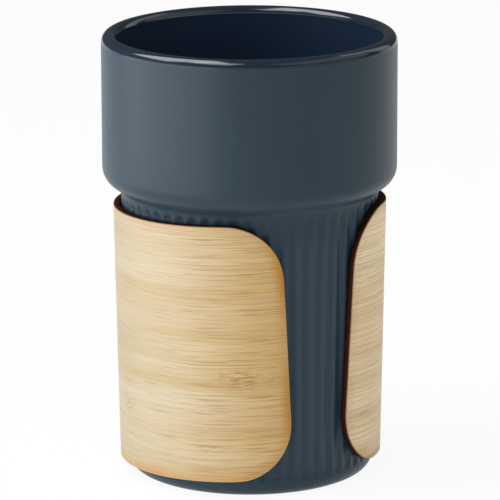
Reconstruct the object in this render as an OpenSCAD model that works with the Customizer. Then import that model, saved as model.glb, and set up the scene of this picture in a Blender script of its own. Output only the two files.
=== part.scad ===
// Ceramic mug with a bent bamboo sleeve.
// The mug stands on z = 0 with its axis on Z. The open gap of the sleeve faces -Y.
// All lengths are millimetres and all angles are degrees.

/* [Mug] */
// Outside diameter of the barrel and the rim
rim_d = 80; // [70:1:100]
// Height of the mug from the table to the top of the lip
mug_h = 121; // [95:1:160]
// Thickness of the fired clay wall, flutes not counted
wall_t = 4.2; // [2.6:0.1:4.6]
// Thickness of the floor above the recess of the foot
floor_t = 4.2; // [3:0.1:8]
// Height of the straight barrel, from the shoulder to the top of the lip
barrel_h = 36.4; // [20:0.1:45]
// Radius of the outer round of the lip, whose inner round takes the rest of the wall
lip_round = 2.2; // [1:0.1:2.4]

/* [Shoulder] */
// How far the barrel stands out beyond the fluted wall below it
shoulder_step = 5; // [4:0.1:7]
// Radius of the outer round of the shoulder
shoulder_round = 5.4; // [3.5:0.1:7]
// Radius of the cove that leads from the shoulder into the fluted wall
cove_round = 2.5; // [1.5:0.1:4]

/* [Fluted wall] */
// Slope of the fluted wall and of the sleeve that grips it
wall_taper = 1.1; // [0.6:0.1:2.5]
// Number of flutes round the wall
flute_count = 56; // [40:1:58]
// Width of one flute
flute_w = 2.7; // [1.6:0.1:2.9]
// Depth of one flute
flute_depth = 0.45; // [0.2:0.05:0.7]
// Plain height between the cove and the tops of the flutes
flute_top_gap = 0.3; // [0.1:0.1:3]
// Plain height between the foot's round and the lower ends of the flutes
flute_foot_gap = 0.5; // [0.1:0.1:4]

/* [Foot] */
// Radius of the round at the bottom of the wall
foot_round = 4; // [1.5:0.1:5]
// Width of the flat ring that the mug stands on
foot_ring_w = 4.6; // [3:0.1:8]
// Depth of the recess inside the ring
foot_recess = 1.6; // [0.8:0.1:3]
// Radius of the rounds on the inner side of the ring, at its edge and at the recess
foot_edge_round = 0.7; // [0.2:0.1:1.2]

/* [Hollow] */
// Radius of the round between the floor and the inside wall
floor_round = 8; // [3:0.5:12]

/* [Sleeve] */
// Thickness of the bamboo sheet
sleeve_t = 2; // [1:0.1:3]
// Gap between the two ends of the sheet, half way up
sleeve_gap = 20; // [8:0.5:40]
// Radius of the four corners of the flat sheet
sleeve_corner = 15.6; // [4:0.1:24]
// Clearance between the sheet and the crests of the flutes
sleeve_fit = 0.15; // [0.1:0.05:0.4]
// Height of the sheet's lower edge above the table, at the back
sleeve_bottom_gap = 3; // [1:0.1:12]
// Clear height between the sheet's highest point and the cove
sleeve_top_gap = 1.5; // [0.6:0.1:12]

/* [Hidden] */

glaze_colour = "#3b4a56";
bamboo_colour = "#cfb583";

$fn = 96;
// Straight steps in a quarter of a round
round_steps = 10;
// Straight steps of the sheet's length, and of each rounded corner
sheet_steps = 96;
corner_steps = 14;

// Outside of the mug
rim_r = rim_d / 2;
lip_inner = wall_t - lip_round;
shoulder_z = mug_h - barrel_h;
crest_r = rim_r - shoulder_step;
shoulder_reach = shoulder_round + cove_round;
shoulder_turn = acos(max(0, 1 - shoulder_step / shoulder_reach));
cove_z = shoulder_z - shoulder_reach * sin(shoulder_turn);
function crest_at(z) = crest_r - (cove_z - z) * tan(wall_taper);

// Inside of the mug: the clay keeps its thickness under the flutes and round the shoulder
bore_r = rim_r - wall_t;
hollow_inset = wall_t + flute_depth;
floor_z = foot_recess + floor_t;
inner_round = shoulder_round - min(wall_t, shoulder_round - 1);
inner_cove = cove_round + wall_t;
inner_step = bore_r - (crest_r - hollow_inset);
inner_reach = inner_round + inner_cove;
inner_turn = acos(max(0, 1 - inner_step / inner_reach));
inner_cove_z = shoulder_z - inner_reach * sin(inner_turn);
function hollow_at(z) = crest_at(z) - hollow_inset;

// A round as a list of points, from the first angle to the last
function round_points(centre, radius, from, to) =
    let (steps = ceil(round_steps * abs(to - from) / 90))
    [for (i = [0:steps])
        let (a = from + (to - from) * i / steps)
        [centre[0] + radius * cos(a), centre[1] + radius * sin(a)]];

// Half section of the fired clay: foot, outside, lip, then down the inside to the floor
function mug_section() =
    let (
        foot_r = crest_at(foot_round) - foot_round,
        edge = min(foot_edge_round, foot_recess / 2),
        ring_r = foot_r - foot_ring_w - edge,
        cove_r = crest_r + cove_round,
        inner_r = crest_r - hollow_inset,
        floor_r = hollow_at(floor_z + floor_round) - floor_round
    )
    concat(
        [[0, foot_recess]],
        round_points([ring_r - edge, foot_recess - edge], edge, 90, 0),
        round_points([ring_r + edge, edge], edge, 180, 270),
        round_points([foot_r, foot_round], foot_round, -90, 0),
        round_points([cove_r, cove_z], cove_round, 180, 180 - shoulder_turn),
        round_points([rim_r - shoulder_round, shoulder_z], shoulder_round, -shoulder_turn, 0),
        round_points([rim_r - lip_round, mug_h - lip_round], lip_round, 0, 90),
        round_points([bore_r + lip_inner, mug_h - lip_inner], lip_inner, 90, 180),
        round_points([bore_r - inner_round, shoulder_z], inner_round, 0, -inner_turn),
        round_points([inner_r + inner_cove, inner_cove_z], inner_cove, 180 - inner_turn, 180),
        round_points([floor_r, floor_z + floor_round], floor_round, 0, -90),
        [[0, floor_z]]
    );

// One round-ended cutter, leaning with the wall
module flute() {
    cutter_r = (flute_w * flute_w / 4 + flute_depth * flute_depth) / (2 * flute_depth);
    top_z = cove_z - flute_top_gap - flute_w / 2;
    low_z = foot_round + flute_foot_gap + flute_w / 2;
    length = (top_z - low_z) / cos(wall_taper);
    translate([crest_at(top_z) + cutter_r - flute_depth, 0, top_z])
        rotate([0, wall_taper, 0]) {
            translate([0, 0, -length]) {
                cylinder(r = cutter_r, h = length);
                sphere(r = cutter_r);
            }
            sphere(r = cutter_r);
        }
}

module ceramic_mug() {
    color(glaze_colour)
        difference() {
            rotate_extrude() polygon(mug_section());
            for (i = [0:flute_count - 1])
                rotate(i * 360 / flute_count) flute();
        }
}

// The flat sheet before bending: u runs along it from the back, v up it from its lower edge
mid_z = (sleeve_bottom_gap + cove_z) / 2;
sheet_face_r = crest_at(0) + (sleeve_fit + sleeve_t) / cos(wall_taper);
cone_length = (sheet_face_r + sleeve_bottom_gap * tan(wall_taper)) / sin(wall_taper);
mid_r = sheet_face_r + mid_z * tan(wall_taper);
sheet_l = 2 * PI * mid_r - sleeve_gap;
sheet_rise = pow(sheet_l / 2 - sleeve_corner, 2) / (2 * cone_length);
sheet_h = (cove_z - sleeve_top_gap - sheet_rise - sleeve_bottom_gap) / cos(wall_taper);

// Bends the point (u, v) of the sheet onto the mug's cone, depth under the outer face
function bend(u, v, depth) =
    let (
        reach = norm([u, cone_length + v]),
        turn = atan2(u, cone_length + v) / sin(wall_taper),
        r = reach * sin(wall_taper) - depth * cos(wall_taper),
        z = sleeve_bottom_gap + (reach - cone_length) * cos(wall_taper) + depth * sin(wall_taper)
    )
    [r * sin(turn), r * cos(turn), z];

// Places along the sheet: close together in the corners, even between them
function sheet_stations() =
    let (straight = sheet_l / 2 - sleeve_corner)
    concat(
        [for (i = [0:corner_steps - 1]) -straight - sleeve_corner * cos(90 * i / corner_steps)],
        [for (i = [0:sheet_steps]) straight * (2 * i / sheet_steps - 1)],
        [for (i = [corner_steps - 1:-1:0]) straight + sleeve_corner * cos(90 * i / corner_steps)]
    );

// How much the corner takes off the sheet's height at u
function corner_cut(u) =
    let (past = max(0, abs(u) - (sheet_l / 2 - sleeve_corner)))
    sleeve_corner - sqrt(max(0, sleeve_corner * sleeve_corner - past * past));

module bamboo_sleeve() {
    stations = sheet_stations();
    last = len(stations) - 1;
    points = [
        for (u = stations)
            for (edge = [
                [corner_cut(u), 0],
                [sheet_h - corner_cut(u), 0],
                [sheet_h - corner_cut(u), sleeve_t],
                [corner_cut(u), sleeve_t]
            ])
                bend(u, edge[0], edge[1])
    ];
    sides = [
        for (i = [0:last - 1])
            for (k = [0:3])
                let (a = 4 * i + k, b = 4 * i + (k + 1) % 4)
                each [[a, b, b + 4], [a, b + 4, a + 4]]
    ];
    ends = [[0, 3, 2], [0, 2, 1], [4 * last, 4 * last + 1, 4 * last + 2], [4 * last, 4 * last + 2, 4 * last + 3]];
    color(bamboo_colour)
        polyhedron(points, concat(sides, ends));
}

ceramic_mug();
bamboo_sleeve();
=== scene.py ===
"""Studio scene of a glazed mug in its bent bamboo sleeve.

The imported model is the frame. The mug and the sleeve are modelled again on it, at the same sizes and
places, with finer surfaces, and dressed in glaze, bare clay, bamboo and a charred cut edge. Sizes in the
classes are millimetres and degrees unless a name says otherwise. Meshes are in metres.
"""

import logging
import math
from dataclasses import dataclass
from enum import Enum
from typing import Any

import bmesh
import bpy
from mathutils import Matrix, Vector


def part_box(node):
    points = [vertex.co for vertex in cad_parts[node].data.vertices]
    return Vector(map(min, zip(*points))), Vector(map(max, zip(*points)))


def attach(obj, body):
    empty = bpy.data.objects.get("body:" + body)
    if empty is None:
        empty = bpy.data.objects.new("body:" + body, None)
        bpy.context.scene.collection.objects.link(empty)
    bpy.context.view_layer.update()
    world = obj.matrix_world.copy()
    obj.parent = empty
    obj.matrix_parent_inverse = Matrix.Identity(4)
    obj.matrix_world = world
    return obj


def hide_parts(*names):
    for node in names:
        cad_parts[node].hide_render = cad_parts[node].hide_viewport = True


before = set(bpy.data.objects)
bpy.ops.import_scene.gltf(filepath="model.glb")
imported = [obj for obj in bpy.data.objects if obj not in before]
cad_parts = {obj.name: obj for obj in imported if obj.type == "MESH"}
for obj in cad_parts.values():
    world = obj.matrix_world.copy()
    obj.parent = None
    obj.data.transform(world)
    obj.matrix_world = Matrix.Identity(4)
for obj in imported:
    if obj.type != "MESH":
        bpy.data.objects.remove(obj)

LOG = logging.getLogger("mug")
MM = 0.001
PHOTO_PX = 500
NOISE_MIDDLE = 0.5
Node = bpy.types.Node
Socket = bpy.types.NodeSocket
Tree = bpy.types.NodeTree


def linear(srgb: str) -> tuple[float, float, float, float]:
    """Turns an sRGB hex colour into linear light.

    Args:
        srgb: Colour such as "#c7b283".

    Returns:
        Red, green, blue and an alpha of one.
    """
    channels = [int(srgb[i : i + 2], 16) / 255 for i in (1, 3, 5)]
    red, green, blue = (c / 12.92 if c <= 0.04045 else ((c + 0.055) / 1.055) ** 2.4 for c in channels)
    return red, green, blue, 1.0


def per_mm(size: float) -> float:
    """Gives the pattern scale, in repeats per metre, of a feature of that many millimetres."""
    return 1 / (size * MM)


def add_node(tree: Tree, kind: str, inputs: dict[str | int, Any] | None = None, **settings: Any) -> Node:
    """Adds one node with its settings, values and links.

    Args:
        tree: Node tree of a material or of the world.
        kind: Node type without its ShaderNode prefix.
        inputs: Plain value, or output socket to link, for each input's name or number.
        settings: Attributes of the node, such as its operation.

    Returns:
        The new node.
    """
    node = tree.nodes.new("ShaderNode" + kind)
    for name, value in settings.items():
        setattr(node, name, value)
    for key, value in (inputs or {}).items():
        if isinstance(value, Socket):
            tree.links.new(value, node.inputs[key])
        else:
            node.inputs[key].default_value = value
    return node


def add_math(tree: Tree, operation: str, *values: float | Socket, clamp: bool = False) -> Socket:
    """Adds a calculation on plain values and output sockets.

    Args:
        tree: Node tree of a material or of the world.
        operation: What is worked out, such as "MULTIPLY".
        values: What goes in, in the node's order.
        clamp: Whether the result stays between zero and one.

    Returns:
        The result.
    """
    inputs = dict(enumerate(values))
    return add_node(tree, "Math", inputs, operation=operation, use_clamp=clamp).outputs[0]


def add_ramp(
    tree: Tree,
    value: Socket,
    start: float,
    stop: float,
    first: float = 0.0,
    last: float = 1.0,
    smooth: bool = False,
) -> Socket:
    """Adds a ramp, level before its start and past its stop.

    Args:
        tree: Node tree of a material or of the world.
        value: Value that it follows.
        start: Value where it starts.
        stop: Value where it stops.
        first: Result at the start.
        last: Result at the stop.
        smooth: Whether it eases in and out.

    Returns:
        The result.
    """
    limits = {"From Min": start, "From Max": stop, "To Min": first, "To Max": last}
    kind = "SMOOTHSTEP" if smooth else "LINEAR"
    return add_node(tree, "MapRange", {"Value": value, **limits}, interpolation_type=kind).outputs[0]


def add_mix(tree: Tree, share: Socket, under: Any, over: Any, blend: str = "MIX") -> Socket:
    """Adds one colour over another, each a plain colour or an output socket.

    Args:
        tree: Node tree of a material.
        share: Share of the colour on top.
        under: Colour below.
        over: Colour on top.
        blend: How the two are blended.

    Returns:
        The new colour.
    """
    # The node numbers its colour sockets after those for numbers and vectors
    tones = {0: share, 6: under, 7: over}
    return add_node(tree, "Mix", tones, data_type="RGBA", blend_type=blend).outputs[2]


def add_noise(tree: Tree, place: Socket, size: float, detail: float) -> Socket:
    """Adds smooth noise.

    Args:
        tree: Node tree of a material.
        place: Place on the piece, in metres.
        size: Size of its features, in millimetres.
        detail: Number of finer layers in it.

    Returns:
        Its value, about one half on average.
    """
    inputs = {"Vector": place, "Scale": per_mm(size), "Detail": detail}
    return add_node(tree, "TexNoise", inputs).outputs[0]


def smooth_step(x: float) -> float:
    """Eases from zero to one as x goes from zero to one."""
    x = min(max(x, 0.0), 1.0)
    return x * x * (3 - 2 * x)


@dataclass(frozen=True)
class Finish:
    """A surface finish, which becomes one material. Its fine relief stands up, or is sunk."""

    name: str
    roughness: float
    ior: float
    specular: float
    relief: float
    relief_mm: float
    sunk: bool = False

    def make(self) -> bpy.types.Material:
        """Makes the material.

        Returns:
            A material whose shader has this finish's gloss, pattern and relief.
        """
        material = bpy.data.materials.new(self.name)
        material.use_nodes = True
        tree = material.node_tree
        shader = tree.nodes["Principled BSDF"]
        shader.inputs["Roughness"].default_value = self.roughness
        shader.inputs["IOR"].default_value = self.ior
        shader.inputs["Specular IOR Level"].default_value = self.specular
        colour, height = self.paint(tree, shader)
        tree.links.new(colour, shader.inputs["Base Color"])
        depths = {"Height": height, "Strength": self.relief, "Distance": self.relief_mm * MM}
        bump = add_node(tree, "Bump", depths, invert=self.sunk)
        tree.links.new(bump.outputs[0], shader.inputs["Normal"])
        return material

    def paint(self, tree: Tree, shader: Node) -> tuple[Socket, Socket]:
        """Adds the pattern of the finish.

        Args:
            tree: Its node tree.
            shader: Its Principled shader.

        Returns:
            Its colour and its relief.
        """
        raise NotImplementedError


@dataclass(frozen=True)
class SatinGlaze(Finish):
    """Sprayed slate-blue stoneware glaze, fired to a satin: broad soft reflections and faint mottling.

    It thins on the crests of the flutes, where it fires paler, and pools darker in their floors. The liner
    glaze has run over it on the lip, where it turns glossy.
    """

    name: str = "satin_stoneware_glaze"
    roughness: float = 0.4
    ior: float = 1.5
    specular: float = 0.28
    relief: float = 0.08
    relief_mm: float = 0.05
    thick: str = "#273743"
    thin: str = "#2b3b47"
    crest: str = "#314554"
    pooled: str = "#293a47"
    crest_low: float = 4.0
    crest_top: float = 73.0
    crest_blend: float = 7.0
    cloud_mm: float = 9.0
    cloud_gloss: float = 0.03
    peel_mm: float = 0.9
    lip_z: float = 118.8
    lip_blend: float = 0.5
    lip_colour: str = "#1f2b38"
    lip_roughness: float = 0.1
    tint: str = "#f0fbff"
    sheen: str = "#8cbccc"
    sheen_weight: float = 0.08

    def paint(self, tree: Tree, shader: Node) -> tuple[Socket, Socket]:
        """Adds clouds, pooling in the flutes and a fine orange peel.

        Args:
            tree: Its node tree.
            shader: Its Principled shader.

        Returns:
            Its colour and its relief.
        """
        place = add_node(tree, "TexCoord").outputs["Object"]
        clouds = add_noise(tree, place, self.cloud_mm, detail=3.0)
        height = add_node(tree, "SeparateXYZ", {0: place}).outputs["Z"]

        # The pale crests start above the foot and end under the cove, and the liner starts on the lip
        spans = (
            (self.crest_low, self.crest_low + self.crest_blend),
            (self.crest_top, self.crest_top - self.crest_blend),
            (self.lip_z - self.lip_blend, self.lip_z + self.lip_blend),
        )
        above, below, liner = (
            add_ramp(tree, height, start * MM, stop * MM, smooth=True) for start, stop in spans
        )
        fluted = add_math(tree, "MINIMUM", above, below)
        pool = add_node(tree, "Attribute", attribute_name="pool").outputs["Fac"]
        colour = linear(self.thick)
        coats = ((clouds, self.thin), (fluted, self.crest), (pool, self.pooled), (liner, self.lip_colour))
        for share, tint in coats:
            colour = add_mix(tree, share, colour, linear(tint))
        shader.inputs["Specular Tint"].default_value = linear(self.tint)
        shader.inputs["Sheen Weight"].default_value = self.sheen_weight
        shader.inputs["Sheen Tint"].default_value = linear(self.sheen)
        low, high = self.roughness - self.cloud_gloss, self.roughness + self.cloud_gloss
        dull = add_ramp(tree, clouds, 0.0, 1.0, low, high)
        gloss = add_node(tree, "Mix", {0: liner, 2: dull, 3: self.lip_roughness}, data_type="FLOAT")
        tree.links.new(gloss.outputs[0], shader.inputs["Roughness"])
        return colour, add_noise(tree, place, self.peel_mm, detail=1.0)


@dataclass(frozen=True)
class GlossGlaze(Finish):
    """Poured navy liner glaze on the lip and in the hollow, fired glossy: deep colour, clean highlights."""

    name: str = "gloss_liner_glaze"
    roughness: float = 0.1
    ior: float = 1.62
    specular: float = 0.5
    relief: float = 0.1
    relief_mm: float = 0.2
    # Colours of the hollow, painted a little lighter than the lip as painted light
    deep: str = "#223246"
    thin: str = "#26364b"
    lip_colour: str = "#1f2b38"
    lip_z: float = 118.8
    lip_blend: float = 1.5
    cloud_mm: float = 12.0
    wave_mm: float = 14.0

    def paint(self, tree: Tree, shader: Node) -> tuple[Socket, Socket]:
        """Adds thicker and thinner clouds of the coat, painted light that keeps the hollow a little lighter
        than the lip, and slow waves in the gloss.

        Args:
            tree: Its node tree.
            shader: Its Principled shader.

        Returns:
            Its colour and its relief.
        """
        place = add_node(tree, "TexCoord").outputs["Object"]
        clouds = add_noise(tree, place, self.cloud_mm, detail=2.0)
        height = add_node(tree, "SeparateXYZ", {0: place}).outputs["Z"]
        low, high = (self.lip_z - self.lip_blend) * MM, (self.lip_z + self.lip_blend) * MM
        lip = add_ramp(tree, height, low, high)
        # The hollow's colours are painted lighter than the lip's, as painted light inside it
        coat = add_mix(tree, clouds, linear(self.deep), linear(self.thin))
        colour = add_mix(tree, lip, coat, linear(self.lip_colour))
        return colour, add_noise(tree, place, self.wave_mm, detail=1.0)


@dataclass(frozen=True)
class BareStoneware(Finish):
    """Unglazed fired clay, wiped and sanded on the foot ring: pale, dry and finely speckled."""

    name: str = "bare_stoneware"
    roughness: float = 0.85
    ior: float = 1.5
    specular: float = 0.3
    relief: float = 0.4
    relief_mm: float = 0.08
    clay: str = "#c9bfb0"
    grog: str = "#9b8f80"
    grog_mm: float = 0.5
    grog_levels: tuple[float, float] = (0.55, 0.75)

    def paint(self, tree: Tree, shader: Node) -> tuple[Socket, Socket]:
        """Adds grog specks and their grain.

        Args:
            tree: Its node tree.
            shader: Its Principled shader.

        Returns:
            Its colour and its relief.
        """
        place = add_node(tree, "TexCoord").outputs["Object"]
        grain = add_noise(tree, place, self.grog_mm, detail=2.0)
        specks = add_ramp(tree, grain, *self.grog_levels)
        return add_mix(tree, specks, linear(self.clay), linear(self.grog)), grain


@dataclass(frozen=True)
class Knuckle:
    """A bamboo joint that shows in one strip: its place on the flat sheet, half sizes and strength."""

    u: float
    v: float
    half_l: float = 9.0
    half_h: float = 5.0
    strength: float = 1.0


@dataclass(frozen=True)
class Streak:
    """Noise drawn out along the fibres, and how it shows as a mark.

    The mark starts at the low level of the noise and has its full strength at the high level. Real fibres
    are finer than a pixel, so they are drawn as wide as they need to show.
    """

    along: float
    across: float
    detail: float
    low: float
    high: float
    strength: float

    def draw(self, tree: Tree, place: Socket) -> tuple[Socket, Socket]:
        """Adds the noise and its mark.

        Args:
            tree: Node tree of the material.
            place: Place on the flat sheet, in metres.

        Returns:
            The noise, about one half on average, and the share of the mark's colour.
        """
        scale = (per_mm(self.along), per_mm(self.across), per_mm(1.0))
        drawn = add_node(tree, "VectorMath", {0: place, 1: scale}, operation="MULTIPLY")
        inputs = {"Vector": drawn.outputs[0], "Scale": 1.0, "Detail": self.detail}
        noise = add_node(tree, "TexNoise", inputs).outputs[0]
        return noise, add_ramp(tree, noise, self.low, self.high, 0.0, self.strength)


@dataclass(frozen=True)
class BambooFace(Finish):
    """Sanded bamboo ply, strips glued edge to edge: straight fine fibres, short brown vessels, knuckles.

    The laser that cut the sheet left a toasted halo inside its edge. On the flat sheet, u runs along it
    from the middle of its back and v runs up it from its lower edge.
    """

    name: str = "sanded_bamboo"
    roughness: float = 0.48
    ior: float = 1.5
    specular: float = 0.35
    relief: float = 0.15
    relief_mm: float = 0.1
    sunk: bool = True
    half_l: float = 104.8
    pale: str = "#cfc2a5"
    mid: str = "#c4b28c"
    # Painted shade that darkens the sheet round its back
    back_shade: str = "#e0e3ea"
    back_shade_span: tuple[float, float] = (0.4, 0.84)
    # Painted light that brightens the far end of the sheet, and where it lies
    lit_end_gain: tuple[float, float, float, float] = (1.67, 1.57, 1.49, 1.0)
    lit_end_span: tuple[float, float] = (0.3, 0.8)
    honey: str = "#d6aa58"
    honey_mm: float = 34.0
    honey_share: float = 0.6
    strip_mm: float = 13.8
    first_strip_mm: float = 12.6
    strip_contrast: float = 0.35
    strip_shift: float = -0.17
    strip_apart_m: float = 0.05
    seam_share: float = 0.3
    seam_height: float = 0.35
    swirl_mm: float = 7.0
    swirl_reach: float = 0.8
    broad: Streak = Streak(90.0, 5.0, 1.0, 0.3, 0.7, 1.0)
    fibres: Streak = Streak(60.0, 0.32, 2.0, 0.5, 0.61, 0.52)
    vessels: Streak = Streak(15.0, 0.28, 1.0, 0.57, 0.63, 0.52)
    long_lines: Streak = Streak(140.0, 0.9, 1.0, 0.58, 0.66, 0.35)
    dashes: Streak = Streak(3.4, 0.45, 1.0, 0.5, 0.58, 0.7)
    fibre: str = "#b8965f"
    vessel: str = "#9a6a30"
    blush: str = "#cba584"
    dense_mm: float = 55.0
    dense: float = 1.15
    sparse: float = 0.48
    lit_end_marks: float = 0.5
    toast: str = "#b97a18"
    halo_mm: float = 4.2
    halo_rest: float = 0.25
    halo_low: float = 0.6
    gust_mm: float = 25.0
    gust_levels: tuple[float, float] = (0.25, 0.6)
    arris: str = "#d8b675"
    scorch: str = "#6b3a17"
    scorch_heights: tuple[float, float] = (45.0, 60.0)
    rubbed_mm: tuple[float, float] = (0.1, 0.3)
    rubbed_share: float = 0.6
    dull_spread: float = 0.08
    knuckles: tuple[Knuckle, ...] = (
        Knuckle(-52, 18, 7.0, 5.0, 0.6),
        Knuckle(-92.5, 28.5, 11.0, 5.5),
        Knuckle(-83, 9, 8.0, 2.5, 0.35),
        Knuckle(10, 47),
        Knuckle(66, 33),
        Knuckle(-20, 6),
        Knuckle(38, 61),
    )

    def knuckle_mask(self, tree: Tree, flat: Socket) -> Socket:
        """Adds soft ovals at the knuckles.

        Args:
            tree: Node tree of the material.
            flat: Place on the flat sheet, in metres.

        Returns:
            Each knuckle's strength in its middle, and zero away from them.
        """
        mask = 0.0
        for knuckle in self.knuckles:
            middle = (knuckle.u * MM, knuckle.v * MM, 0.0)
            offset = add_node(tree, "VectorMath", {0: flat, 1: middle}, operation="SUBTRACT").outputs[0]
            scale = (per_mm(knuckle.half_l), per_mm(knuckle.half_h), 0.0)
            scaled = add_node(tree, "VectorMath", {0: offset, 1: scale}, operation="MULTIPLY").outputs[0]
            reach = add_node(tree, "VectorMath", {0: scaled}, operation="LENGTH").outputs["Value"]
            oval = add_ramp(tree, reach, 0.0, 1.0, knuckle.strength, 0.0, smooth=True)
            mask = add_math(tree, "MAXIMUM", mask, oval)
        return mask

    def ground(self, tree: Tree, u: Socket, from_back: Socket, level: Socket) -> Socket:
        """Adds the ground colour: darker with painted shade round the back, lighter with painted light at
        one end, and honey brown at the other.

        Args:
            tree: Node tree of the material.
            u: Place along the sheet, in metres.
            from_back: The same without its sign.
            level: Share of the darker ground tone.

        Returns:
            The ground colour.
        """
        half_l = self.half_l
        shade_from, shade_to = (share * half_l for share in self.back_shade_span)
        lit_from, lit_to = (share * half_l for share in self.lit_end_span)
        # Painted shade round the back, painted light on the far end, and the real honey tone at the near
        # end
        tints = (
            (from_back, shade_from, shade_to, 1.0, 0.0, linear(self.back_shade), "MULTIPLY"),
            (u, lit_from, lit_to, 0.0, 1.0, self.lit_end_gain, "MULTIPLY"),
            (u, -half_l, self.honey_mm - half_l, self.honey_share, 0.0, linear(self.honey), "MIX"),
        )
        colour = add_mix(tree, level, linear(self.pale), linear(self.mid))
        for value, start, stop, first, last, tint, blend in tints:
            share = add_ramp(tree, value, start * MM, stop * MM, first, last, smooth=True)
            colour = add_mix(tree, share, colour, tint, blend)
        return colour

    def density(self, tree: Tree, u: Socket, from_back: Socket) -> Socket:
        """Adds how strongly the marks show: most near the ends, and less over the end that is painted
        lighter.

        Args:
            tree: Node tree of the material.
            u: Place along the sheet, in metres.
            from_back: The same without its sign.

        Returns:
            Factor on the share of each mark.
        """
        start, stop = (self.half_l - self.dense_mm) * MM, self.half_l * MM
        ends = add_ramp(tree, from_back, start, stop, self.sparse, self.dense, smooth=True)
        # Fewer marks over the end that is painted lighter
        start, stop = (share * self.half_l * MM for share in self.lit_end_span)
        lit_end = add_ramp(tree, u, start, stop, 1.0, self.lit_end_marks, smooth=True)
        return add_math(tree, "MULTIPLY", ends, lit_end)

    def toasting(self, tree: Tree, u: Socket, v: Socket, flat: Socket) -> Socket:
        """Adds how far the laser toasted the face: most along one end and the lower edge, and in gusts.

        Args:
            tree: Node tree of the material.
            u: Place along the sheet, in metres.
            v: Place up the sheet, in metres.
            flat: Place on the flat sheet, in metres.

        Returns:
            Share of the toasted colour right at the outline.
        """
        reach = 2 * self.halo_mm
        start, stop = -self.half_l * MM, (reach - self.half_l) * MM
        end = add_ramp(tree, u, start, stop, 1.0, self.halo_rest)
        low = add_ramp(tree, v, 0.0, reach * MM, self.halo_low, 0.0)
        burn = add_math(tree, "MAXIMUM", end, low)
        gust = add_noise(tree, flat, self.gust_mm, detail=2.0)
        return add_math(tree, "MULTIPLY", burn, add_ramp(tree, gust, *self.gust_levels))

    def worn_arris(self, tree: Tree, u: Socket, v: Socket) -> Socket:
        """Adds the colour of the worn arris: golden, but scorched at one end and towards the top.

        Args:
            tree: Node tree of the material.
            u: Place along the sheet, in metres.
            v: Place up the sheet, in metres.

        Returns:
            The arris's colour.
        """
        start, stop = (height * MM for height in self.scorch_heights)
        far = add_math(tree, "GREATER_THAN", u, 0.0)
        scorched = add_math(tree, "MAXIMUM", far, add_ramp(tree, v, start, stop))
        return add_mix(tree, scorched, linear(self.arris), linear(self.scorch))

    def paint(self, tree: Tree, shader: Node) -> tuple[Socket, Socket]:
        """Adds strips, fibres, vessels, knuckles and the toasted halo, all on the flat sheet's places.

        Args:
            tree: Its node tree.
            shader: Its Principled shader.

        Returns:
            Its colour and its relief.
        """
        flat = add_node(tree, "Attribute", attribute_name="sheet").outputs["Vector"]
        parts = add_node(tree, "SeparateXYZ", {0: flat})
        u, v = parts.outputs["X"], parts.outputs["Y"]
        from_back = add_math(tree, "ABSOLUTE", u)
        knuckle = self.knuckle_mask(tree, flat)

        # Each strip has its own fibres and tone
        lift = (self.strip_mm - self.first_strip_mm) * MM
        raised = add_math(tree, "ADD", v, lift)
        count = add_math(tree, "MULTIPLY", raised, per_mm(self.strip_mm))
        strip = add_math(tree, "FLOOR", count)
        tone = add_node(tree, "TexWhiteNoise", {"W": strip}, noise_dimensions="1D").outputs["Value"]

        # Fibres run along the sheet and part round the knuckles
        noise = add_noise(tree, flat, self.swirl_mm, detail=1.0)
        swirl = add_math(tree, "SUBTRACT", noise, NOISE_MIDDLE)
        masked = add_math(tree, "MULTIPLY", swirl, knuckle)
        bent = add_math(tree, "MULTIPLY_ADD", masked, self.swirl_reach * MM, v)
        layer = add_math(tree, "MULTIPLY", strip, self.strip_apart_m)
        place = add_node(tree, "CombineXYZ", {0: u, 1: bent, 2: layer}).outputs[0]
        fine, fine_marks = self.fibres.draw(tree, place)
        pores, pore_marks = self.vessels.draw(tree, place)
        _, long_marks = self.long_lines.draw(tree, place)

        # Ground tone, a little different from strip to strip
        shade = add_math(tree, "MULTIPLY_ADD", tone, self.strip_contrast, self.strip_shift)
        _, bands = self.broad.draw(tree, place)
        level = add_math(tree, "ADD", bands, shade, clamp=True)
        colour = self.ground(tree, u, from_back, level)

        # Fibres, vessels and long blushing lines over it, and a browner stretch just above each glue line
        rise = add_math(tree, "FRACT", count)
        seam = add_ramp(tree, rise, 0.0, self.seam_height, self.seam_share, 0.0)
        marks = (
            (fine_marks, self.fibre),
            (pore_marks, self.vessel),
            (long_marks, self.blush),
            (seam, self.fibre),
        )
        density = self.density(tree, u, from_back)
        coats = [(add_math(tree, "MULTIPLY", mark, density), linear(tint)) for mark, tint in marks]

        # Short dashes in the knuckles
        _, dashed = self.dashes.draw(tree, place)
        knotted = add_math(tree, "MULTIPLY", dashed, knuckle)
        coats.append((knotted, linear(self.vessel)))

        # The laser's toasted halo, and the worn arris at the very edge
        edge = add_node(tree, "Attribute", attribute_name="edge").outputs["Fac"]
        near = add_ramp(tree, edge, 0.0, self.halo_mm * MM, 1.0, 0.0, smooth=True)
        halo = add_math(tree, "MULTIPLY", near, self.toasting(tree, u, v, flat))
        coats.append((halo, linear(self.toast)))
        start, stop = (depth * MM for depth in self.rubbed_mm)
        rubbed = add_ramp(tree, edge, start, stop, self.rubbed_share, 0.0)
        coats.append((rubbed, self.worn_arris(tree, u, v)))
        for share, tint in coats:
            colour = add_mix(tree, share, colour, tint)

        # Sanded fibres are a little rough, and the vessels are open pores
        low, high = self.roughness - self.dull_spread, self.roughness + self.dull_spread
        dull = add_ramp(tree, fine, 0.0, 1.0, low, high)
        tree.links.new(dull, shader.inputs["Roughness"])
        return colour, add_math(tree, "ADD", fine, pores)


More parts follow.
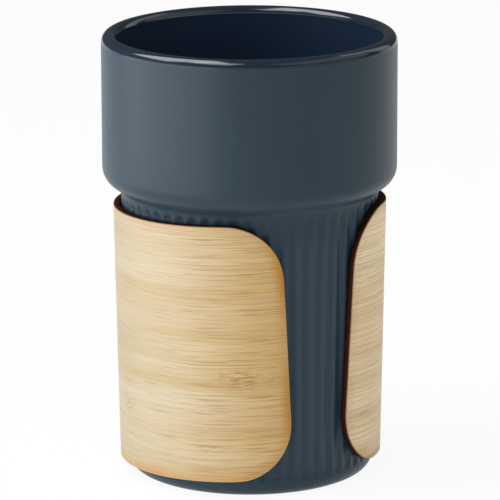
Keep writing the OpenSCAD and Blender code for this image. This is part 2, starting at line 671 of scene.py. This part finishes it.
@dataclass(frozen=True)
class CharredEdge(Finish):
    """Laser-cut edge of the ply: charred to dark brown, with painted shade that darkens it to nearly black
    towards the inner face, next to the mug.
    """

    name: str = "charred_cut_edge"
    roughness: float = 0.7
    ior: float = 1.5
    specular: float = 0.15
    relief: float = 0.3
    relief_mm: float = 0.1
    outer: str = "#542211"
    # Char darkened by painted shade at the inner face, next to the mug
    inner: str = "#220b05"
    outer_depth: float = 0.4
    thickness: float = 2.0
    streak_mm: float = 1.2
    streak_drift: float = 0.8

    def paint(self, tree: Tree, shader: Node) -> tuple[Socket, Socket]:
        """Adds the painted shade that darkens the char towards the inner face, and the streaks of the cut.

        Args:
            tree: Its node tree.
            shader: Its Principled shader.

        Returns:
            Its colour and its relief.
        """
        flat = add_node(tree, "Attribute", attribute_name="sheet").outputs["Vector"]
        depth = add_node(tree, "SeparateXYZ", {0: flat}).outputs["Z"]
        streaks = add_noise(tree, flat, self.streak_mm, detail=2.0)
        drift = add_math(tree, "MULTIPLY_ADD", streaks, self.streak_drift * MM, depth)
        # Painted shade: the char darkens to nearly black towards the inner face
        through = add_ramp(tree, drift, self.outer_depth * MM, self.thickness * MM)
        return add_mix(tree, through, linear(self.outer), linear(self.inner)), streaks


class SectionPen:
    """Draws half of a round section as a wire, point by point, and turns it about the Z axis."""

    def __init__(self, bm: bmesh.types.BMesh, r: float, z: float) -> None:
        """Starts the wire at radius r and height z, in millimetres."""
        self.bm = bm
        self.tip = bm.verts.new((r * MM, 0.0, z * MM))

    def line(self, r: float, z: float, rows: int = 1) -> None:
        """Draws a straight stretch.

        Args:
            r: Radius at its end, in millimetres.
            z: Height at its end, in millimetres.
            rows: Number of equal steps.
        """
        step = (Vector((r, 0.0, z)) * MM - self.tip.co) / rows
        for _ in range(rows):
            made = bmesh.ops.extrude_vert_indiv(self.bm, verts=[self.tip])
            self.tip = made["verts"][0]
            bmesh.ops.translate(self.bm, verts=[self.tip], vec=step)

    def arc(self, r: float, z: float, turn: float, rows: int) -> None:
        """Draws a round stretch.

        Args:
            r: Radius of its centre from the axis, in millimetres.
            z: Height of its centre, in millimetres.
            turn: Angle that it turns through, in degrees, anticlockwise if positive.
            rows: Number of equal steps.
        """
        made = bmesh.ops.spin(
            self.bm,
            geom=[self.tip],
            cent=Vector((r, 0.0, z)) * MM,
            axis=(0.0, -1.0, 0.0),
            angle=math.radians(turn),
            steps=rows,
        )
        self.tip = next(part for part in made["geom_last"] if isinstance(part, bmesh.types.BMVert))

    def turn(self, angle: float, steps: int, material: int) -> None:
        """Turns the wire about the axis.

        Args:
            angle: How far it turns, in radians.
            steps: Number of equal steps.
            material: Material index of the new faces.
        """
        wire = [edge for edge in self.bm.edges if edge.is_wire]
        ends = {vert for edge in wire for vert in edge.verts}
        older = set(self.bm.faces)
        bmesh.ops.spin(
            self.bm,
            geom=[*ends, *wire],
            cent=(0.0, 0.0, 0.0),
            axis=(0.0, 0.0, 1.0),
            angle=angle,
            steps=steps,
        )
        for face in self.bm.faces:
            if face not in older:
                face.material_index = material


def finish_mesh(bm: bmesh.types.BMesh, name: str, finishes: list[Finish]) -> bpy.types.Object:
    """Makes a smooth-shaded object from a bmesh.

    Args:
        bm: Finished shape, in metres. It is freed.
        name: Name of the piece.
        finishes: Finish of each material index.

    Returns:
        The new object, in the scene.
    """
    for face in bm.faces:
        face.smooth = True
    mesh = bpy.data.meshes.new(name)
    bm.to_mesh(mesh)
    bm.free()
    for finish in finishes:
        mesh.materials.append(finish.make())
    piece = bpy.data.objects.new(name, mesh)
    bpy.context.scene.collection.objects.link(piece)
    return piece


class Zone(Enum):
    """Surfaces of the mug that are finished in different ways."""

    SATIN = 0
    GLOSS = 1
    BARE = 2


@dataclass
class GlazedMug:
    """The fired mug: barrel, shoulder, fluted wall, foot ring and hollow."""

    rim_r: float
    height: float
    wall: float = 4.2
    floor_t: float = 4.2
    barrel_h: float = 36.4
    lip_round: float = 2.2
    shoulder_step: float = 5.0
    shoulder_round: float = 5.4
    cove_round: float = 2.5
    taper: float = 1.1
    flute_count: int = 56
    flute_w: float = 2.7
    flute_depth: float = 0.45
    flute_top_gap: float = 0.3
    flute_foot_gap: float = 0.5
    flute_soft: float = 0.3
    end_band: float = 1.0
    foot_round: float = 4.0
    foot_ring_w: float = 4.6
    foot_recess: float = 1.6
    foot_edge: float = 0.7
    floor_round: float = 8.0
    liner_turn: float = 24.0
    steps_per_flute: int = 12
    weld: float = 0.005

    def __post_init__(self) -> None:
        """Works out the places where the section's stretches meet."""
        self.lip_inner = self.wall - self.lip_round
        self.shoulder_z = self.height - self.barrel_h
        self.crest_r = self.rim_r - self.shoulder_step
        reach = self.shoulder_round + self.cove_round
        self.shoulder_turn = math.degrees(math.acos(1 - self.shoulder_step / reach))
        self.cove_z = self.shoulder_z - reach * math.sin(math.radians(self.shoulder_turn))
        self.bore_r = self.rim_r - self.wall
        self.inset = self.wall + self.flute_depth
        self.floor_z = self.foot_recess + self.floor_t
        self.foot_r = self.crest_at(self.foot_round) - self.foot_round
        self.ring_r = self.foot_r - self.foot_ring_w - self.foot_edge
        self.flute_top = self.cove_z - self.flute_top_gap - self.flute_w / 2
        self.flute_low = self.foot_round + self.flute_foot_gap + self.flute_w / 2

    def crest_at(self, z: float) -> float:
        """Gives the radius of the flutes' crests at height z."""
        return self.crest_r - (self.cove_z - z) * math.tan(math.radians(self.taper))

    def liner_edge(self) -> tuple[float, float]:
        """Works out where the liner glaze starts on the lip's outer round.

        Returns:
            Radius and height, in millimetres.
        """
        turn = math.radians(self.liner_turn)
        r = self.rim_r - self.lip_round * (1 - math.cos(turn))
        return r, self.height - self.lip_round * (1 - math.sin(turn))

    def draw_recess(self, pen: SectionPen) -> None:
        """Draws the glazed recess under the floor, out to the ring's inner edge.

        Args:
            pen: Pen in the middle of the recess.
        """
        edge = self.foot_edge
        pen.line(self.ring_r - edge, self.foot_recess, rows=2)
        pen.arc(self.ring_r - edge, self.foot_recess - edge, turn=-90, rows=4)
        pen.line(self.ring_r, edge)
        pen.arc(self.ring_r + edge, edge, turn=90, rows=4)

    def draw_ring(self, pen: SectionPen) -> None:
        """Draws the flat ring that the mug stands on."""
        pen.line(self.foot_r, 0.0, rows=2)

    def draw_outside(self, pen: SectionPen) -> None:
        """Draws the foot's round, the fluted wall, the shoulder and the barrel, up to the liner glaze.

        Args:
            pen: Pen at the ring's outer edge.
        """
        pen.arc(self.foot_r, self.foot_round, turn=90, rows=9)
        above_feet = self.flute_low + self.end_band
        pen.line(self.crest_at(above_feet), above_feet, rows=9)
        below_tops = self.flute_top - self.end_band
        pen.line(self.crest_at(below_tops), below_tops, rows=12)
        pen.line(self.crest_r, self.cove_z, rows=8)
        pen.arc(self.crest_r + self.cove_round, self.cove_z, -self.shoulder_turn, rows=7)
        pen.arc(self.rim_r - self.shoulder_round, self.shoulder_z, self.shoulder_turn, rows=11)
        pen.line(self.rim_r, self.height - self.lip_round, rows=6)
        pen.arc(self.rim_r - self.lip_round, self.height - self.lip_round, self.liner_turn, rows=5)

    def draw_liner(self, pen: SectionPen) -> None:
        """Draws the lip and the hollow, down to the middle of the floor.

        Args:
            pen: Pen where the liner glaze starts.
        """
        pen.arc(self.rim_r - self.lip_round, self.height - self.lip_round, 90 - self.liner_turn, rows=9)
        pen.arc(self.bore_r + self.lip_inner, self.height - self.lip_inner, turn=90, rows=11)
        pen.line(self.bore_r, self.shoulder_z, rows=4)
        inner_round = self.shoulder_round - self.wall
        inner_cove = self.cove_round + self.wall
        inner_r = self.crest_r - self.inset
        reach = inner_round + inner_cove
        turn = math.degrees(math.acos(1 - (self.bore_r - inner_r) / reach))
        inner_z = self.shoulder_z - reach * math.sin(math.radians(turn))
        pen.arc(self.bore_r - inner_round, self.shoulder_z, -turn, rows=5)
        pen.arc(inner_r + inner_cove, inner_z, turn, rows=6)
        bend_z = self.floor_z + self.floor_round
        bend_r = self.crest_at(bend_z) - self.inset
        pen.line(bend_r, bend_z, rows=4)
        pen.arc(bend_r - self.floor_round, bend_z, turn=-90, rows=7)
        pen.line(0.0, self.floor_z, rows=2)

    def cut_flute(self, bm: bmesh.types.BMesh) -> None:
        """Presses the round-ended flutes into the wall, with the edges softened by the glaze.

        Args:
            bm: Turned share of the mug. Its vertices get a "pool" value, one where the glaze lies thickest.
        """
        pool = bm.verts.layers.float.new("pool")
        pitch = math.tau / self.flute_count
        half_w = self.flute_w / 2
        for vert in bm.verts:
            radius, z = math.hypot(vert.co.x, vert.co.y) / MM, vert.co.z / MM
            crest = self.crest_at(z)
            if radius < crest - 2 * self.flute_depth or z > self.cove_z + self.cove_round:
                continue
            angle = math.atan2(vert.co.y, vert.co.x)
            across = crest * (angle - pitch * round(angle / pitch))
            past = max(0.0, z - self.flute_top, self.flute_low - z)
            depth = self.flute_depth * (1 - (across**2 + past**2) / half_w**2)
            excess = depth - (crest - radius)
            cut = (excess + math.hypot(excess, self.flute_soft)) / 2
            scale = (radius - cut) / radius
            vert.co.x *= scale
            vert.co.y *= scale
            vert[pool] = smooth_step(cut / self.flute_depth)

    def build(self) -> bpy.types.Object:
        """Turns one flute's share of the section, zone by zone, and repeats it round the axis.

        Returns:
            The mug's object.
        """
        bm = bmesh.new()
        share = math.tau / self.flute_count
        bands = (
            (0.0, self.foot_recess, self.draw_recess, Zone.SATIN),
            (self.ring_r + self.foot_edge, 0.0, self.draw_ring, Zone.BARE),
            (self.foot_r, 0.0, self.draw_outside, Zone.SATIN),
            (*self.liner_edge(), self.draw_liner, Zone.GLOSS),
        )
        for r, z, draw, zone in bands:
            pen = SectionPen(bm, r, z)
            draw(pen)
            pen.turn(share, self.steps_per_flute, zone.value)
        self.cut_flute(bm)
        bmesh.ops.spin(
            bm,
            geom=[*bm.verts, *bm.edges, *bm.faces],
            cent=(0.0, 0.0, 0.0),
            axis=(0.0, 0.0, 1.0),
            angle=math.tau - share,
            steps=self.flute_count - 1,
            use_duplicate=True,
        )
        bmesh.ops.remove_doubles(bm, verts=bm.verts, dist=self.weld * MM)
        bmesh.ops.recalc_face_normals(bm, faces=bm.faces)
        lip_z = self.height - self.lip_round
        finishes = [SatinGlaze(lip_z=lip_z), GlossGlaze(lip_z=lip_z), BareStoneware()]
        return finish_mesh(bm, "glazed_mug", finishes)


class SheetSide(Enum):
    """Surfaces of the bamboo sheet that are finished in different ways."""

    FACE = 0
    CUT = 1


@dataclass
class BambooSleeve:
    """The bent sheet: cut flat with four round corners, then rolled onto the mug's cone."""

    mug: GlazedMug
    thickness: float = 2.0
    gap: float = 20.0
    corner: float = 15.6
    fit: float = 0.15
    bottom_gap: float = 3.0
    top_gap: float = 1.5
    arris: float = 0.2
    corner_steps: int = 16
    arris_steps: int = 2
    cell: float = 2.0
    snap: float = 0.001
    crease: float = 20.0
    charred_slopes: tuple[float, float] = (-0.95, 0.3)

    def __post_init__(self) -> None:
        """Works out the flat sheet from the wall that it grips."""
        self.lean = math.radians(self.mug.taper)
        face_r = self.mug.crest_at(0.0) + (self.fit + self.thickness) / math.cos(self.lean)
        self.cone_l = (face_r + self.bottom_gap * math.tan(self.lean)) / math.sin(self.lean)
        mid_z = (self.bottom_gap + self.mug.cove_z) / 2
        mid_r = face_r + mid_z * math.tan(self.lean)
        self.half_l = (math.tau * mid_r - self.gap) / 2
        rise = (self.half_l - self.corner) ** 2 / (2 * self.cone_l)
        self.sheet_h = (self.mug.cove_z - self.top_gap - rise - self.bottom_gap) / math.cos(self.lean)

    def edge_distance(self, u: float, v: float) -> float:
        """Gives how far a point of the flat sheet lies inside its outline.

        Args:
            u: Place along the sheet from its middle, in millimetres.
            v: Height above its lower edge, in millimetres.

        Returns:
            Distance to the nearest point of the outline, in millimetres.
        """
        past_u = abs(u) - (self.half_l - self.corner)
        past_v = abs(v - self.sheet_h / 2) - (self.sheet_h / 2 - self.corner)
        if past_u > 0 and past_v > 0:
            return self.corner - math.hypot(past_u, past_v)
        return self.corner - max(past_u, past_v)

    def bend(self, u: float, v: float, depth: float) -> Vector:
        """Rolls a point of the flat sheet onto the cone.

        Args:
            u: Place along the sheet from the middle of its back, in millimetres.
            v: Height above its lower edge, in millimetres.
            depth: Depth under its outer face, in millimetres.

        Returns:
            Place in the frame, in metres.
        """
        reach = math.hypot(u, self.cone_l + v)
        turn = math.atan2(u, self.cone_l + v) / math.sin(self.lean)
        r = reach * math.sin(self.lean) - depth * math.cos(self.lean)
        z = self.bottom_gap + (reach - self.cone_l) * math.cos(self.lean) + depth * math.sin(self.lean)
        return Vector((r * math.sin(turn), r * math.cos(turn), z)) * MM

    def cut_blank(self) -> bmesh.types.BMesh:
        """Cuts the flat sheet, with round corners and broken arrises.

        Returns:
            The solid sheet: u along X, v along Y, its outer face at z = 0.
        """
        bm = bmesh.new()
        right, top = self.half_l, self.sheet_h
        outline = ((-right, 0.0), (right, 0.0), (right, top), (-right, top))
        corners = [bm.verts.new(Vector((u, v, 0.0)) * MM) for u, v in outline]
        bm.faces.new(corners)
        bmesh.ops.bevel(
            bm,
            geom=corners,
            offset=self.corner * MM,
            affect="VERTICES",
            segments=self.corner_steps,
            profile=0.5,
            material=-1,
        )
        made = bmesh.ops.extrude_face_region(bm, geom=bm.faces[:])
        inner = [part for part in made["geom"] if isinstance(part, bmesh.types.BMVert)]
        bmesh.ops.translate(bm, verts=inner, vec=(0.0, 0.0, -self.thickness * MM))
        bmesh.ops.recalc_face_normals(bm, faces=bm.faces)
        rims = [edge for edge in bm.edges if edge.calc_face_angle(0.0) > math.radians(self.crease)]
        bmesh.ops.bevel(
            bm,
            geom=rims,
            offset=self.arris * MM,
            affect="EDGES",
            segments=self.arris_steps,
            profile=0.5,
            material=-1,
        )
        return bm

    def score(self, bm: bmesh.types.BMesh, across: Vector, start: float, length: float) -> None:
        """Scores the sheet into even cells, so that it can bend.

        Args:
            bm: Flat sheet.
            across: Direction that the cells follow.
            start: Where the sheet starts in that direction, in millimetres.
            length: Length of the sheet in that direction, in millimetres.
        """
        cells = round(length / self.cell)
        for i in range(1, cells):
            bmesh.ops.bisect_plane(
                bm,
                geom=[*bm.verts, *bm.edges, *bm.faces],
                dist=self.snap * MM,
                plane_co=across * (start + length * i / cells) * MM,
                plane_no=across,
            )

    def build(self) -> bpy.types.Object:
        """Cuts, scores and bends the sheet.

        Returns:
            The sleeve's object.
        """
        bm = self.cut_blank()
        self.score(bm, Vector((1.0, 0.0, 0.0)), -self.half_l, 2 * self.half_l)
        self.score(bm, Vector((0.0, 1.0, 0.0)), 0.0, self.sheet_h)
        sheet = bm.verts.layers.float_vector.new("sheet")
        edge = bm.verts.layers.float.new("edge")
        bm.normal_update()

        # The cut edge and its inner arris are charred, and the faces and the outer arris are not
        low, high = self.charred_slopes
        for face in bm.faces:
            side = SheetSide.CUT if low < face.normal.z < high else SheetSide.FACE
            face.material_index = side.value
        for line in bm.edges:
            line.smooth = line.calc_face_angle(0.0) < math.radians(self.crease)

        # Each point keeps its place on the flat sheet, which the grain follows
        for vert in bm.verts:
            u, v, depth = vert.co.x / MM, vert.co.y / MM, -vert.co.z / MM
            vert[sheet] = Vector((u, v, depth)) * MM
            vert[edge] = self.edge_distance(u, v) * MM
            vert.co = self.bend(u, v, depth)
        bmesh.ops.recalc_face_normals(bm, faces=bm.faces)
        finishes = [BambooFace(half_l=self.half_l), CharredEdge(thickness=self.thickness)]
        return finish_mesh(bm, "bent_sleeve", finishes)


def outward(bearing: float, elevation: float) -> Vector:
    """Gives the direction at a bearing from -Y towards +X and an elevation, both in degrees."""
    turn, rise = math.radians(bearing), math.radians(elevation)
    return Vector((math.sin(turn) * math.cos(rise), -math.cos(turn) * math.cos(rise), math.sin(rise)))


@dataclass(frozen=True)
class Softbox:
    """A square-edged diffused lamp, placed round the camera's own bearing and aimed at the mug."""

    name: str
    bearing: float
    elevation: float
    distance_m: float
    width_m: float
    height_m: float
    watts: float

    def place(self, bearing_from: float, target: Vector) -> None:
        """Puts the lamp in the scene.

        Args:
            bearing_from: Bearing of the camera round the mug, from -Y towards +X, in degrees.
            target: Point that the lamp faces, in metres.
        """
        lamp = bpy.data.lights.new(self.name, "AREA")
        lamp.shape = "RECTANGLE"
        lamp.size = self.width_m
        lamp.size_y = self.height_m
        lamp.energy = self.watts
        holder = bpy.data.objects.new(self.name, lamp)
        out = outward(bearing_from + self.bearing, self.elevation)
        holder.location = target + out * self.distance_m
        holder.rotation_euler = out.to_track_quat("Z", "Y").to_euler()
        holder.visible_camera = False
        bpy.context.scene.collection.objects.link(holder)


@dataclass
class Studio:
    """White floor, soft lamps and the camera of the photograph."""

    bearing: float = -31.7
    elevation: float = 14.07
    roll: float = -0.158
    distance_m: float = 1.1737
    focal_px: float = 4302.0
    sensor_mm: float = 36.0
    target_z: float = 58.54
    aim_right: float = 0.03
    aim_up: float = 1.779
    floor_r_m: float = 4.0
    floor_sides: int = 96
    floor_drop: float = 0.1
    floor_colour: str = "#f8f8f6"
    floor_glow: float = 0.93
    horizon: float = 8.0
    wall_sides: tuple[float, float] = (-0.3, 0.2)
    room_light: float = 0.08
    lamps: tuple[Softbox, ...] = (
        Softbox("key_softbox", -91, 57, 1.0, 0.68, 0.85, 8.8),
        Softbox("front_softbox", -37, 58, 1.0, 0.45, 0.42, 2.0),
        Softbox("right_softbox", 72, 40, 1.2, 1.6, 1.1, 2.6),
        Softbox("right_strip", 128, 28, 1.0, 0.35, 1.0, 0.9),
        Softbox("left_card", -66, 0, 0.3, 0.5, 0.115, 0.52),
    )

    def place_camera(self) -> None:
        """Puts the camera where the photograph was taken from."""
        lens = bpy.data.cameras.new("photo_camera")
        lens.sensor_fit = "HORIZONTAL"
        lens.sensor_width = self.sensor_mm
        lens.lens = self.sensor_mm * self.focal_px / PHOTO_PX
        camera = bpy.data.objects.new("photo_camera", lens)
        back = outward(self.bearing, self.elevation)
        turn = back.to_track_quat("Z", "Y").to_matrix()
        aim = Vector((0.0, 0.0, self.target_z)) + turn @ Vector((self.aim_right, self.aim_up, 0.0))
        turn = turn @ Matrix.Rotation(math.radians(self.roll), 3, "Z")
        camera.matrix_world = Matrix.LocRotScale(aim * MM + back * self.distance_m, turn, None)
        bpy.context.scene.collection.objects.link(camera)
        bpy.context.scene.camera = camera

    def lay_floor(self) -> bpy.types.Object:
        """Lays the white paper floor, which keeps a faint shadow.

        Returns:
            The floor's object.
        """
        bm = bmesh.new()
        bmesh.ops.create_circle(bm, cap_ends=True, radius=self.floor_r_m, segments=self.floor_sides)
        bmesh.ops.translate(bm, verts=bm.verts, vec=(0.0, 0.0, -self.floor_drop * MM))
        mesh = bpy.data.meshes.new("paper_floor")
        bm.to_mesh(mesh)
        bm.free()
        paper = bpy.data.materials.new("white_paper")
        paper.use_nodes = True
        tree = paper.node_tree
        tree.nodes.clear()
        matte = add_node(tree, "BsdfDiffuse", {"Color": linear(self.floor_colour)})
        glow = add_node(tree, "Emission")

        # It glows for the rays that show it, but adds no light to the object
        rays = add_node(tree, "LightPath")
        seen = rays.outputs["Is Camera Ray"]
        for kind in ("Is Glossy Ray", "Is Transmission Ray"):
            seen = add_math(tree, "MAXIMUM", seen, rays.outputs[kind])
        share = add_math(tree, "MULTIPLY", seen, self.floor_glow)
        lit = add_node(tree, "MixShader", {0: share, 1: matte.outputs[0], 2: glow.outputs[0]})
        add_node(tree, "OutputMaterial", {"Surface": lit.outputs[0]})
        mesh.materials.append(paper)
        floor = bpy.data.objects.new("paper_floor", mesh)
        bpy.context.scene.collection.objects.link(floor)
        return floor

    def light_world(self) -> None:
        """Shows a white room, but lights from a dim one with a low white wall behind the camera."""
        world = bpy.data.worlds.new("white_room")
        world.use_nodes = True
        bpy.context.scene.world = world
        tree = world.node_tree
        towards = add_node(tree, "TexCoord").outputs["Object"]
        rise = add_node(tree, "SeparateXYZ", {0: towards}).outputs["Z"]
        top = math.sin(math.radians(self.horizon))
        wall = add_ramp(tree, rise, top, 2 * top, 1.0, 0.0)

        # The wall stands on the camera's side and fades out towards the far side
        ahead = outward(self.bearing, 0.0)
        near = add_node(tree, "VectorMath", {0: towards, 1: ahead}, operation="DOT_PRODUCT")
        front = add_ramp(tree, near.outputs["Value"], *self.wall_sides, smooth=True)
        white = add_math(tree, "MULTIPLY", wall, front)
        dim = add_math(tree, "MAXIMUM", white, self.room_light)
        seen = add_node(tree, "LightPath").outputs["Is Camera Ray"]
        level = add_math(tree, "MAXIMUM", dim, seen)
        tree.links.new(level, tree.nodes["Background"].inputs["Strength"])
        tree.nodes["Background"].inputs["Color"].default_value = (1.0, 1.0, 1.0, 1.0)

    def build(self) -> bpy.types.Object:
        """Sets up the whole studio.

        Returns:
            The floor's object.
        """
        self.place_camera()
        self.light_world()
        for lamp in self.lamps:
            lamp.place(self.bearing, Vector((0.0, 0.0, self.target_z)) * MM)
        bpy.context.scene.view_settings.view_transform = "Standard"
        return self.lay_floor()


def main() -> None:
    """Builds the studio, the mug and the sleeve, and reports each piece."""
    logging.basicConfig(level=logging.INFO, format="%(name)s: %(message)s")
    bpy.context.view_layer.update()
    floor = Studio().build()
    low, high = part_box("ceramic_mug")
    mug = GlazedMug(rim_r=(high[0] - low[0]) / 2 / MM, height=high[2] / MM)
    sleeve = BambooSleeve(mug)
    pieces = (
        (mug.build(), "mug", "ceramic_mug", "glaze"),
        (sleeve.build(), "sleeve", "bamboo_sleeve", "bamboo"),
    )
    for piece, body, node, slot in pieces:
        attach(piece, body)
        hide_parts(node)
        LOG.info("%s: %d faces, rides on %s", piece.name, len(piece.data.polygons), body)
    bpy.context.view_layer.update()


if __name__ == "__main__":
    main()
